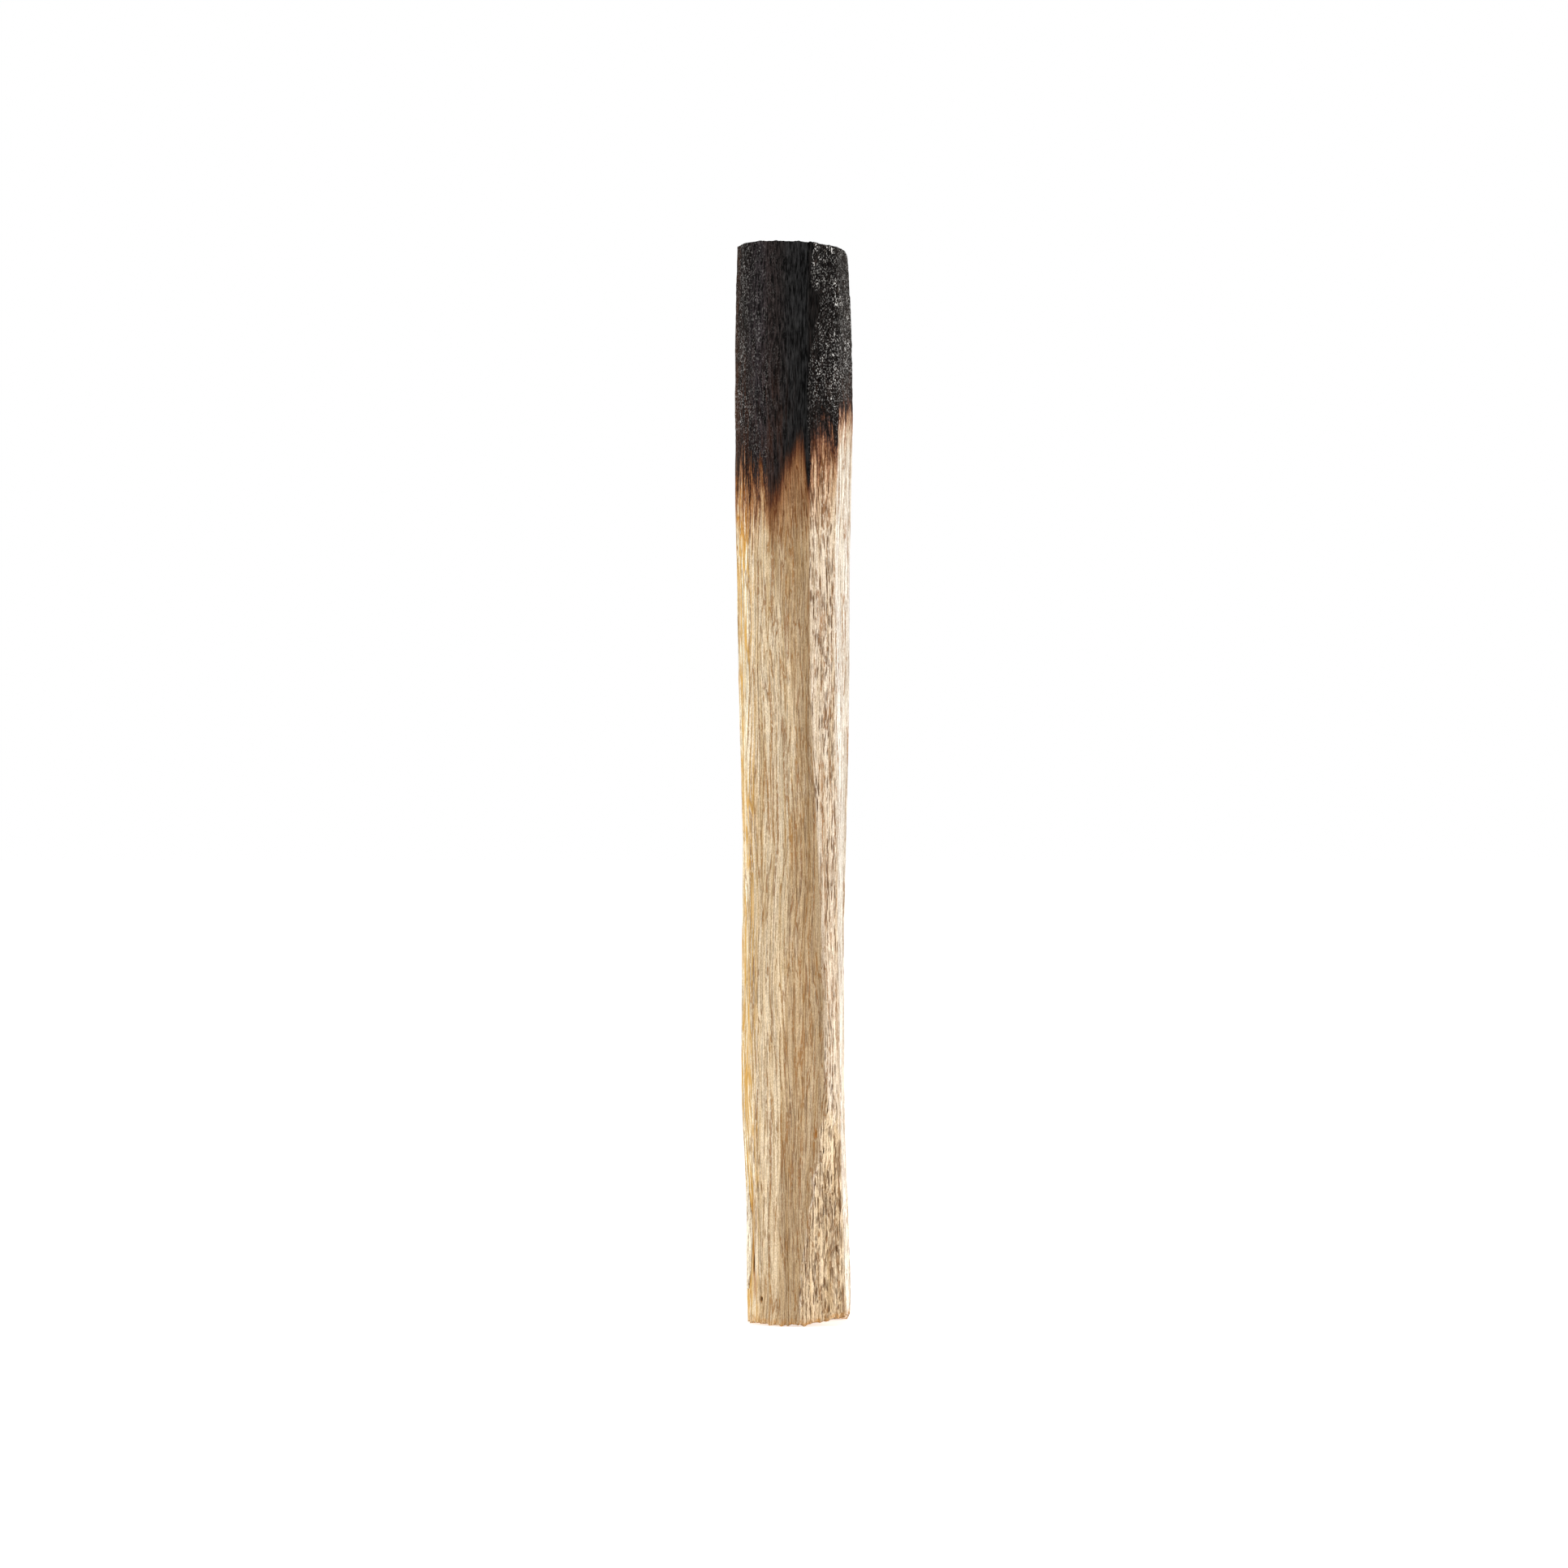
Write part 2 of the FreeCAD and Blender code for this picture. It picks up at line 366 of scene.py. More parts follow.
def burn(points):
    """0 on fresh wood, 1 where the wood has turned black, with tongues along the grain."""
    black, half, pale = read_round(BURN_REACH, points)
    z = points[..., 2] / LENGTH
    tongues = 0.006 * noise(points, 0.9, 40, 1) + 0.009 * noise(points, 0.30, 22, 2)
    z = z + tongues * shared(zones(points), STREAKY)
    upper = 0.5 + 0.5 * (z - half) / (black - half)
    lower = 0.5 * (z - pale) / (half - pale)
    return np.clip(np.where(z > half, upper, lower), -1, 4)


def soot(points):
    """Colour of the charcoal, how much painted glint it gets and how much still shows brown."""
    red, green, blue, glints, brown = read_round(SOOT, points)
    return srgb(np.stack([red, green, blue], axis=-1)), glints, brown


def behind_crust_border(points):
    """1 where the crust can lie, 0 on the smooth black band left of its wavy border."""
    right = past(line_x(CRUST_LEFT, points[..., 2]), 0.08, points[..., 0])
    return np.where((points[..., 1] < 0) & (points[..., 0] > 0), right, 1.0)


def crust_share(points, zone, burnt):
    """How thick the flaking crust is: on black wood, most of all on the right-hand facet."""
    right = (zone["right"] + zone["hollow"] * (points[..., 0] > 0)) * behind_crust_border(points)
    share = right + 0.5 * zone["back"] + 0.6 * zone["right_edge"] + 0.35 * zone["left_edge"]
    return smooth(0.9, 1.3, burnt) * np.clip(share, 0, 1)


def srgb(colour):
    """Linear colour from the usual 0 to 255 values."""
    channels = np.asarray(colour) / 255
    return np.where(channels <= 0.04045, channels / 12.92, ((channels + 0.055) / 1.055) ** 2.4)


# ------------ relief of the surface

def marks(points):
    """How deep each point lies in one of the small pits and splits, in mm."""
    depth = 0.0
    for x_share, z_share, width, height, deep in MARKS:
        dx = (points[..., 0] - x_share * HALF) / (width * MM)
        dz = (points[..., 2] - z_share * LENGTH) / (height * MM)
        depth = depth + deep * np.exp(-dx * dx - dz * dz)
    return depth * (points[..., 1] < 0)


def fine_relief(points, zone, charred, crust):
    """Height in mm of the fibres, torn spots and crust; its low places are also darkened as painted
    groove shade.
    """
    rough = zone["right"] * (1 - 0.6 * charred) + 0.45 * zone["back"] + 0.25 * zone["hollow"]
    plain = 1 - 0.5 * charred
    height = plain * (0.045 * crease(points, 0.50, 12, 12) + 0.028 * crease(points, 0.30, 5, 13))
    height += plain * 0.016 * noise(points, 0.22, 0.7, 16)
    height += rough * (0.022 * noise(points, 0.30, 5.0, 14) + 0.026 * noise(points, 0.20, 0.50, 15))
    height += charred * (1 - crust) * 0.030 * noise(points, 0.22, 1.8, 17)
    height += crust * 0.095 * terrace(points, 0.90, 1.4, 18, 2)
    height += crust * 0.060 * crease(points, 0.40, 0.60, 19)
    return height


def lath_bank(points):
    """Height in mm of the low swelling of the wood along the torn lath's left edge."""
    away = (step_x(points[..., 2]) - points[..., 0]) / MM
    bank = 0.16 * (1 - smooth(0.0, 1.0, away)) * (1 - smooth(0.2, 1.6, -away)) * (points[..., 1] < 0)
    return bank * (1 - smooth(0.85 * LATH_TOP, 1.2 * LATH_TOP, points[..., 2]))


def relief(points):
    """Height of the wood's surface over the CAD surface, in metres."""
    zone = zones(points)
    burnt = burn(points)
    charred = smooth(0.75, 1.1, burnt)
    crust = crust_share(points, zone, burnt)
    height = fine_relief(points, zone, charred, crust) + 0.05 * noise(points, 1.3, 22, 11)
    return (height + lath_bank(points) - 0.10 * smooth(0.4, 1.3, burnt) - marks(points)) * MM


def torn_relief(points):
    """Height in mm of the torn fibres of the lath: layers and grooves that start and stop."""
    height = 0.11 * terrace(points, 0.75, 5.0, 52, 2.5) + 0.08 * noise(points, 0.22, 0.7, 54)
    return height + 0.09 * crease(points, 0.42, 3.0, 53) - 0.12 * torn_grooves(points)


def torn_grooves(points):
    """1 in the narrow grooves between the torn fibres, in patches, and 0 on the fibres; also painted
    dark as shade.
    """
    wide = smooth(0.15, 0.75, -crease(points, 0.62, 4.5, 55))
    thin = smooth(0.2, 0.8, -crease(points, 0.36, 3.0, 56))
    left, right = step_x(points[..., 2]), line_x(BEVEL_RIGHT, points[..., 2])
    share = (points[..., 0] - left) / (right - left)
    deepest = smooth(0.15, 0.55, share) * (1 - 0.5 * smooth(0.75, 0.95, share))
    patches = smooth(-0.45, 0.25, noise(points, 1.1, 6, 57) - 0.75 * (1 - deepest))
    return np.maximum(wide, 0.8 * thin) * patches


def outwards(angle):
    """Unit vectors that point away from the axis."""
    return np.stack([np.cos(angle), np.sin(angle), np.zeros_like(angle)], axis=-1)


def base_points(angle, z):
    """Points of the worn CAD surface."""
    base = outwards(angle) * base_radius(angle, z)[..., None]
    base[..., 2] = z
    return base


def angle_of(points):
    """Angle of each point round the axis, from 0 to a full turn."""
    return np.arctan2(points[..., 1], points[..., 0]) % FULL_TURN


def cad_points(points):
    """The points moved along their radius onto the worn CAD surface."""
    return base_points(angle_of(points), points[..., 2])


def side_points(angle, z, extra=0.0):
    """Points of the finished side surface; `extra` lifts them further out, in metres."""
    angle, z = np.broadcast_arrays(np.asarray(angle, float), np.asarray(z, float))
    base = base_points(angle, z)
    return base + outwards(angle) * (relief(base) + extra)[..., None]


# ------------ meshes

def placed(name, data):
    """A new object in the scene, from a mesh, a lamp or a camera."""
    thing = bpy.data.objects.new(name, data)
    bpy.context.scene.collection.objects.link(thing)
    return thing


def new_piece(name, corners, faces, stands_for, normals=None):
    """A mesh piece that rides on the stick and stands for one CAD node."""
    mesh = bpy.data.meshes.new(name)
    mesh.from_pydata(np.asarray(corners).tolist(), [], faces)
    mesh.validate()
    mesh.shade_smooth()
    if normals is not None:
        mesh.normals_split_custom_set_from_vertices(normals.tolist())
    piece = placed(name, mesh)
    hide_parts(stands_for)
    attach(piece, "root")
    return piece


def ring_faces(rings, columns, closed=True):
    """Quads between consecutive rings of equal length."""
    here = np.arange(rings * columns).reshape(rings, columns)
    beside = np.roll(here, -1, axis=1)
    quads = np.stack([here[:-1], beside[:-1], beside[1:], here[1:]], axis=-1)
    last = columns if closed else columns - 1
    return quads[:, :last].reshape(-1, 4).tolist()


def capped(start, rings, end):
    """Corners and faces of a closed skin: a start point, rings, and an end point."""
    columns = len(rings[0])
    corners = np.concatenate([np.asarray(ring) for ring in rings] + [[start], [end]])
    faces = ring_faces(len(rings), columns)
    start_index, end_index = len(corners) - 2, len(corners) - 1
    top = (len(rings) - 1) * columns
    for column in range(columns):
        beside = (column + 1) % columns
        faces.append((start_index, beside, column))
        faces.append((end_index, top + column, top + beside))
    return corners, faces


def boundary(node):
    """Height at each angle where a CAD node ends and the next one up begins."""
    own = cad_tree(node)
    low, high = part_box(node)
    heights = []
    for angle in ANGLES:
        bottom, top = max(low.z, LOWEST_FRONT * LENGTH), high.z
        for _ in range(BOUNDARY_STEPS):
            middle = (bottom + top) / 2
            outside = radius_at(angle, min(middle, TABLE_Z[-1]))
            if radius_at(angle, middle, own) > outside - 0.05 * MM:
                bottom = middle
            else:
                top = middle
        heights.append(bottom)
    return np.array(heights)


def cone_rings(ring, tip):
    """Rings that close from an outer ring in to a tip inside the stick."""
    return [ring + (tip - ring) * share for share in np.linspace(0, 1, CONE_STEPS, endpoint=False)[1:]]


def rows_between(low, high, count):
    """Rings of the side surface from one boundary to the next, both included."""
    return side_points(ANGLES, low + (high - low) * np.linspace(0, 1, count)[:, None])


SOUND_EDGE = boundary("sound_wood")
SCORCH_EDGE = boundary("scorched_wood")
SOUND_APEX = np.array([0.10 * HALF, 0, SOUND_TIP - 0.3 * MM])
SCORCH_APEX = np.array([0.05 * HALF, 0, SCORCH_TIP - 0.3 * MM])


def lath_top(share):
    """Ragged height where the lath still holds on, by the share of its width from the left."""
    return LATH_TOP * (0.98 - 0.16 * share + 0.03 * np.sin(17 * share) - 0.02 * np.sin(43 * share))


def lath_window(angle, z):
    """1 under the torn lath, 0 outside it, with a narrow shoulder."""
    x = base_radius(angle, z) * np.cos(angle)
    left, right = step_x(z), line_x(BEVEL_RIGHT, z)
    inside = smooth(left + 0.15 * MM, left + 0.45 * MM, x)
    inside = inside * (1 - smooth(right - 0.35 * MM, right - 0.08 * MM, x))
    top = lath_top(np.clip((x - left) / (right - left), 0, 1))
    inside = inside * (1 - smooth(0.88 * top, 0.96 * top, z))
    return inside * (np.sin(angle) < 0)


def lath_thickness(z):
    """The lath is thickest at the butt and thins to nothing at its upper end."""
    butt, top = LATH_THICKNESS
    return (butt + (top - butt) * np.clip(z / LATH_TOP, 0, 1)) * MM


def broken_corner(points):
    """How far the butt's front right corner is broken away, in metres."""
    right = smooth(0.05, 1.0, points[..., 0] / HALF)
    return BROKEN_CORNER * MM * right * (1 - smooth(-1.0 * MM, 2.5 * MM, points[..., 1]))


def butt_rings(side_ring):
    """Sawn end face: rings from near the middle out to the rim, with saw lines and a burr."""
    rings = []
    chips = RIM_LIFT - broken_corner(side_ring)
    for share in (0.12, 0.25, 0.38, 0.5, 0.6, 0.7, 0.78, 0.85, 0.9, 0.94, 0.97, 0.99):
        ring = side_ring * [share, share, 0]
        saw = 0.5 + 0.5 * np.sin(ring[:, 1] / (0.11 * MM) + 2 * noise(ring, 1.5, 1, 31))
        pores = np.clip(noise(ring, 0.16, 1, 32) - 0.35, 0, 1)
        ring[:, 2] = (0.012 * saw + 0.05 * pores + 0.02 * share) * MM + broken_corner(ring)
        ring[:, 2] += chips * math.exp(-(1 - share) / 0.25)
        rings.append(ring)
    return rings


def rim_lift():
    """How ragged the butt's rim is at each angle: small chips bitten out by the saw."""
    circle = side_points(ANGLES, np.zeros(COLUMNS))
    chips = 0.30 * np.clip(noise(circle, 0.8, 1, 34), 0, 1)
    ragged = 0.14 + 0.22 * noise(circle, 0.30, 1, 33) + chips
    return np.clip(ragged, 0.02, 0.5) * MM + broken_corner(circle)


RIM_LIFT = rim_lift()


def above_rim(z, lift):
    """Heights moved up so that they start at the ragged rim and still end at the lath's top."""
    return z + lift * (1 - z / LATH_TOP)


def sound_rows():
    """Rows of pale wood from the butt's ragged rim to the burn, pressed in under the lath."""
    plain_top = 0.66 * LENGTH
    torn_rows = np.linspace(0, LATH_TOP, TORN_ROWS)[:-1]
    plain_rows = np.linspace(LATH_TOP, plain_top, PLAIN_ROWS)[:-1]
    start = np.concatenate([torn_rows, plain_rows])[:, None]
    start = np.where(start < LATH_TOP, above_rim(start, RIM_LIFT), start)
    press = lath_window(ANGLES, start) * (lath_thickness(start) + 0.03 * MM)
    upper = rows_between(np.full(COLUMNS, plain_top), SOUND_EDGE, TONGUE_ROWS)
    return np.concatenate([side_points(ANGLES, start, -press), upper])


def grid_normals(grid):
    """Outward normal at every point of a stack of closed rows."""
    around = np.roll(grid, -1, axis=1) - np.roll(grid, 1, axis=1)
    normals = np.cross(around, np.gradient(grid, axis=0))
    return normals / np.linalg.norm(normals, axis=-1, keepdims=True)


def crown_height(x, y):
    """Height of the CAD crown over one place, by a ray from above."""
    hit = OUTSIDE.ray_cast(Vector((x, y, cad_high.z + FAR)), Vector((0, 0, -1)))[0]
    return hit.z if hit else cad_high.z - RIM_CLEARANCE


def crown_heights(ring):
    """Height of the CAD crown over each point of a ring."""
    return np.array([crown_height(x, y) for x, y in ring[:, :2]])


def rim_wear(x):
    """How far the burnt rim is worn down: nearly sharp on the left, rounder on the right."""
    return (0.03 + 0.27 * smooth(-0.1, 0.9, x / HALF)) * MM


def rim_top():
    """Ragged height at each angle where the side ends and the burnt top begins."""
    inside = side_points(ANGLES, TABLE_Z[-1]) * [0.98, 0.98, 1]
    return crown_heights(inside) - rim_wear(inside[:, 0]) - 0.05 * MM * (1 + noise(inside, 0.4, 9, 40))


def side_surface():
    """Rows and normals of the whole side, cut where one piece ends and the next begins."""
    sound = sound_rows()
    scorched = rows_between(SOUND_EDGE, SCORCH_EDGE, SCORCHED_ROWS)
    charred = rows_between(SCORCH_EDGE, rim_top(), CHARRED_ROWS)
    normals = grid_normals(np.concatenate([sound, scorched[1:], charred[1:]]))
    first, second = len(sound) - 1, len(sound) + len(scorched) - 2
    return {
        "sound_wood": (sound, normals[:first + 1]),
        "scorched_wood": (scorched, normals[first:second + 1]),
        "charcoal_end": (charred, normals[second:]),
    }


SIDE = side_surface()


def sleeve(node, start, before, after, end):
    """A piece whose visible part is one stretch of the side; the rest closes it up."""
    rows, row_normals = SIDE[node]
    corners, faces = capped(start, before + list(rows) + after, end)
    normals = np.zeros((len(corners), 3))
    first = len(before) * COLUMNS
    normals[first:first + len(rows) * COLUMNS] = row_normals.reshape(-1, 3)
    return new_piece(node + "_body", corners, faces, node, normals)


def make_sound_wood():
    """Pale wood from the butt to the burn, with its point inside the burnt end."""
    rows = SIDE["sound_wood"][0]
    return sleeve("sound_wood", [0, 0, 0.02 * MM], butt_rings(rows[0]),
                  cone_rings(rows[-1], SOUND_APEX), SOUND_APEX)


def make_scorched_wood():
    """Browned wood: a sleeve that follows the two burn fronts inside the stick."""
    rows = SIDE["scorched_wood"][0]
    return sleeve("scorched_wood", SOUND_APEX, cone_rings(rows[0], SOUND_APEX)[::-1],
                  cone_rings(rows[-1], SCORCH_APEX), SCORCH_APEX)


def crown_rings(shoulder):
    """The burnt top: rings from the rounded shoulder in to the middle, pitted and cracked."""
    rings = []
    for share in (0.992, 0.978, 0.955, 0.92, 0.87, 0.8, 0.72, 0.63, 0.53, 0.42, 0.31, 0.2, 0.1):
        ring = shoulder * [share, share, 1]
        worn = rim_wear(ring[:, 0]) * math.exp(-(1 - share) / 0.03)
        rough = 0.08 * noise(ring, 0.7, 9, 41) + 0.06 * crease(ring, 0.35, 9, 42) - 0.06
        ring[:, 2] = crown_heights(ring) - worn + rough * MM
        rings.append(ring)
    return rings


def make_charcoal_end():
    """Charcoal from the burn line to the worn crown."""
    rows = SIDE["charcoal_end"][0]
    middle = [0, 0, crown_height(0, 0) - 0.1 * MM]
    return sleeve("charcoal_end", SCORCH_APEX, cone_rings(rows[0], SCORCH_APEX)[::-1],
                  crown_rings(rows[-1]), middle)


def closed_patch(outer, inner):
    """Corners and faces of a thin body between an outer and an inner sheet of equal size."""
    rows, columns = outer.shape[:2]
    corners = np.concatenate([outer.reshape(-1, 3), inner.reshape(-1, 3)])
    shift = rows * columns
    faces = ring_faces(rows, columns, closed=False)
    faces += [tuple(shift + index for index in reversed(face)) for face in faces]
    grid = np.arange(shift).reshape(rows, columns)
    rim = [*grid[0, :-1], *grid[:-1, -1], *grid[-1, :0:-1], *grid[:0:-1, 0]]
    for first, second in zip(rim, rim[1:] + rim[:1]):
        faces.append((second, first, shift + first, shift + second))
    return corners, faces


def make_torn_lath():
    """The lath of torn wood: a raised lip on the left and deep grooves between its fibres."""
    rows, columns = LATH_GRID
    shares = np.linspace(0, 1, columns)
    heights = np.linspace(0.001, 1, rows)[:, None] * lath_top(shares)
    left, right = step_x(heights), line_x(BEVEL_RIGHT, heights)
    x = left + (right - left) * shares
    angle = np.array([[front_angle(*place) for place in zip(*row)] for row in zip(x, heights)])
    z = above_rim(heights, np.interp(angle, ANGLES, RIM_LIFT))
    base = cad_points(side_points(angle, z))
    loose = 1 - smooth(0.55 * LATH_TOP, LATH_TOP, z)
    lumps = np.exp(-shares / 0.20) * 0.09 * noise(base, 0.45, 2.2, 51)
    torn = (torn_relief(base) - 0.06) * (1 - smooth(0.92, 1.0, shares)) * (0.35 + 0.65 * loose)
    held = smooth(0, 0.07, shares) * (1 - smooth(0.9, 1.0, heights / lath_top(shares)))
    rise = (0.05 + lumps + torn) * held + 0.024 * smooth(0, 0.03, shares) - 0.012
    press = lath_window(angle, z) * lath_thickness(z)
    outer = side_points(angle, z, rise * MM)
    inner = side_points(angle, z, np.minimum(-press, (rise - 0.05) * MM))
    corners, faces = closed_patch(outer, inner)
    return new_piece("torn_lath_body", corners, faces, "torn_lath")


def make_edge_sliver():
    """The pale sliver on the lower left edge, pointed at both ends and sprung off a little."""
    low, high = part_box("edge_sliver")
    left_angle = math.atan2(high.y, low.x) % FULL_TURN
    right_angle = math.atan2(low.y, high.x) % FULL_TURN
    right_angle = left_angle + SLIVER_SHARE * (right_angle - left_angle)
    rows, columns = SLIVER_GRID
    across = np.linspace(-1, 1, columns)
    outer, inner = [], []
    for share in np.linspace(0, 1, rows):
        z = low.z + (high.z - low.z) * share
        width = math.sin(math.pi * min(0.97, max(0.03, share))) ** 0.6
        middle = left_angle + (right_angle - left_angle) * (0.5 + 0.1 * math.sin(5 * share))
        angle = middle + (right_angle - left_angle) * 0.5 * width * across
        sprung = 0.05 + 0.10 * (1 - share) ** 3
        outer.append(side_points(angle, z, (sprung + 0.05 * (1 - across ** 2) * width) * MM))
        inner.append(side_points(angle, z, (sprung - 0.10) * MM))
    corners, faces = closed_patch(np.array(outer), np.array(inner))
    return new_piece("edge_sliver_body", corners, faces, "edge_sliver")


def spike(foot, along, out, length, width, bend):
    """Rings of one splinter: a thin tapering fibre that bends away from the wood."""
    across = np.cross(along, out)
    turn = FULL_TURN * np.arange(SPIKE_SIDES)[:, None] / SPIKE_SIDES
    section = across * np.cos(turn) + out * 0.6 * np.sin(turn)
    rings = []
    for share in np.linspace(0, 1, SPIKE_RINGS):
        centre = foot + along * length * share + out * (bend * length * share ** 2)
        radius = width / 2 * (1 - share) ** 0.7 + 0.004 * MM
        rings.append(centre + section * radius)
    return rings


def closed(rings):
    """Corners and faces of a closed skin over some rings, with a point in each end's middle."""
    return capped(rings[0].mean(axis=0), rings, rings[-1].mean(axis=0))


def joined(parts):
    """Corners and faces of several closed skins as one mesh."""
    corners, faces = [], []
    count = 0
    for part_corners, part_faces in parts:
        corners.append(np.asarray(part_corners))
        faces += [tuple(count + index for index in face) for face in part_faces]
        count += len(part_corners)
    return np.concatenate(corners), faces


def make_splinters():
    """Lifted splinters on the torn wood and the rough right-hand facet."""
    random = np.random.default_rng(7)
    parts = []
    for index in range(SPLINTER_COUNT):
        z = LENGTH * (0.02 + 0.74 * random.random() ** 1.6)
        left, right = line_x(STEP, z), line_x(BEVEL_RIGHT, z)
        if index % 5 == 0:
            left, right = line_x(BEVEL_LEFT, z), left
        angle = front_angle(left + (right - left) * random.uniform(0.03, 0.97), z)
        length = random.uniform(0.5, 2.2) * MM
        width = random.uniform(0.05, 0.12) * MM
        foot = side_points(angle, z, random.uniform(0.0, 0.03) * MM)
        out = outwards(angle)
        along = np.array([0.0, 0.0, random.choice([1.0, 1.0, -1.0])])
        rings = spike(foot, along, out, length, width, random.uniform(0.0, 0.10))
        parts.append(closed(rings))
    corners, faces = joined(parts)
    return new_piece("lifted_splinter_set", corners, faces, "lifted_splinters")


def flake_place(index, low, high, random):
    """Angle, height and size of one scale: two in three lie on the right-hand facet, the
    others on the back."""
    z = random.uniform(low, high)
    if index % 3:
        left, right = line_x(CRUST_LEFT, z), line_x(BEVEL_RIGHT, z)
        angle = front_angle(left + (right - left) * random.uniform(0.1, 0.95), z)
        return angle, z, random.uniform(0.12, 0.40) * MM
    on_back = math.pi * random.uniform(0.25, 0.75)
    return on_back, max(z, 0.88 * LENGTH), random.uniform(0.08, 0.2) * MM


def make_char_flakes():
    """Loose scales of crust: thin crooked plates that curl off the charcoal along one side."""
    random = np.random.default_rng(21)
    count, spokes = FLAKE_COUNT, FLAKE_SPOKES
    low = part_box("char_flakes")[0].z
    places = [flake_place(index, low, TABLE_Z[-1] - 0.7 * MM, random) for index in range(count)]
    angle, z, size = np.array(places).T[:, :, None, None]
    way = FULL_TURN * np.arange(spokes) / spokes
    crooked = random.uniform(0.7, 1.2, (count, 1, spokes))
    curl = random.uniform(0.02, 0.13, (count, 1, 1))
    turn = random.uniform(0, FULL_TURN, (count, 1, 1))
    share = np.array([0.35, 0.7, 1.0, 1.0, 0.7, 0.35])[:, None]
    side = np.array([0.0, 0.0, 0.0, 0.07, 0.07, 0.07])[:, None]
    reach = size * share * crooked
    lift = 0.03 + curl * np.maximum(0.0, np.cos(way - turn)) * share ** 2 - side
    around = angle + reach * np.cos(way) / base_radius(angle, z)
    rings = side_points(around, z + 1.25 * reach * np.sin(way), lift * MM)
    corners, faces = joined([closed(scale) for scale in rings])
    return new_piece("char_flake_set", corners, faces, "char_flakes")


# ------------ colour zones on meshes

PALE_SLIVER = (250, 241, 220)
# Near-white painted light for the right edge facet near the butt.
WHITE_FACET = (255, 249, 240)
TORN_WARMTH = (1.04, 0.97, 0.84)


def fresh_tint(points, zone, torn):
    """Colour of the fresh wood, a little uneven over a few millimetres, warmer where torn, with
    painted light: paler towards the butt and near-white on the right edge facet there.
    """
    tint = sum(zone[name][:, None] * srgb(TINTS[name]) for name in TINTS)
    # Painted light: the right edge facet is made nearly white near the butt.
    white = (zone["right_edge"] * (1 - smooth(0.8 * LATH_TOP, 1.6 * LATH_TOP, points[:, 2])))[:, None]
    tint = tint + white * (srgb(WHITE_FACET) - srgb(TINTS["right_edge"]))
    uneven = 1 + 0.06 * noise(points, 1.2, 24, 61) + 0.04 * noise(points, 4, 9, 62)
    warmth = TORN_WARMTH if torn else 1.0
    # Painted light: the lower part is made paler, standing in for light that falls off towards the
    # butt.
    paler = 1 + 0.09 * (1 - smooth(0.2, 0.5, points[:, 2] / LENGTH))
    return tint * warmth * (uneven * paler / sum(zone.values()))[:, None]


def amber(points, zone):
    """How strong the golden lines are: full on the left edge, fading to the front and back."""
    beside = 1 - smooth(0.0, 1.1 * MM, points[:, 0] - line_x(BEVEL_LEFT, points[:, 2]))
    strength = np.clip(shared(zone, AMBER) + 0.5 * beside * zone["left"], 0, 1)
    return strength * (1 - 0.6 * smooth(-1.0 * MM, 1.5 * MM, points[:, 1]))


def right_border_shade(points):
    """1 in the broken line where the torn lath meets the facet on its right, painted dark as shade."""
    away = (line_x(BEVEL_RIGHT, points[:, 2]) - points[:, 0]) / MM
    return np.exp(-((away - 0.15) / 0.14) ** 2) * smooth(-0.3, 0.3, noise(points, 1, 1.6, 58))


def store(mesh, name, values):
    """Stores a number or a linear colour per corner, under a name that the materials read."""
    kind, field = "FLOAT", "value"
    if values.ndim == 2:
        kind, field = "FLOAT_COLOR", "color"
        values = np.c_[values, np.ones(len(values))]
    layer = mesh.attributes.new(name, kind, "POINT")
    layer.data.foreach_set(field, values.astype(np.float32).ravel())


def paint(piece, look):
    """Stores what the materials read on a piece that looks "plain", "torn" or "pale"."""
    mesh = piece.data
    points = np.zeros(len(mesh.vertices) * 3, np.float32)
    mesh.vertices.foreach_get("co", points)
    points = cad_points(points.reshape(-1, 3).astype(float))
    zone = zones(points)
    burnt = burn(points)
    crust = crust_share(points, zone, burnt)
    fine = fine_relief(points, zone, smooth(0.75, 1.1, burnt), crust)
    rim = np.interp(angle_of(points), ANGLES, RIM_LIFT)
    soot_colour, glints, brown = soot(points)
    layers = {
        "tint": fresh_tint(points, zone, look == "torn"),
        "soot": soot_colour,
        "burn": burnt,
        # How much painted glint and sheen the charcoal gets, none on the smooth black band.
        "glints": glints * behind_crust_border(points) * smooth(0.8, 1.3, burnt),
        "brown": brown * smooth(2.6, 1.2, burnt),
        "streaky": shared(zone, STREAKY),
        "crust": crust,
        # Painted shade: the colour is darkened in the low places of the fine relief, less on the right
        # edge facet.
        "groove_shade": smooth(0.01, 0.09, -fine) * (1 - 0.8 * zone["right_edge"]),
        "marks": marks(points),
        # Where the relief stands high: the painted sheen and glints go there.
        "raised": smooth(0.0, 0.07, fine),
        "amber": amber(points, zone),
        "pores": shared(zone, PORES),
        "butt": 1 - smooth(0.1 * MM, 0.6 * MM, points[:, 2] - rim),
    }
    if look == "torn":
        # On the torn lath the painted shade lies in its grooves and along its right border.
        layers["groove_shade"] = np.maximum(torn_grooves(points), right_border_shade(points))
    if look == "pale":
        layers["tint"] = np.tile(srgb(PALE_SLIVER), (len(points), 1))
        for name in ("amber", "pores", "groove_shade", "marks"):
            layers[name] = np.zeros(len(points))
    for name, values in layers.items():
        store(mesh, name, values)


# ------------ materials

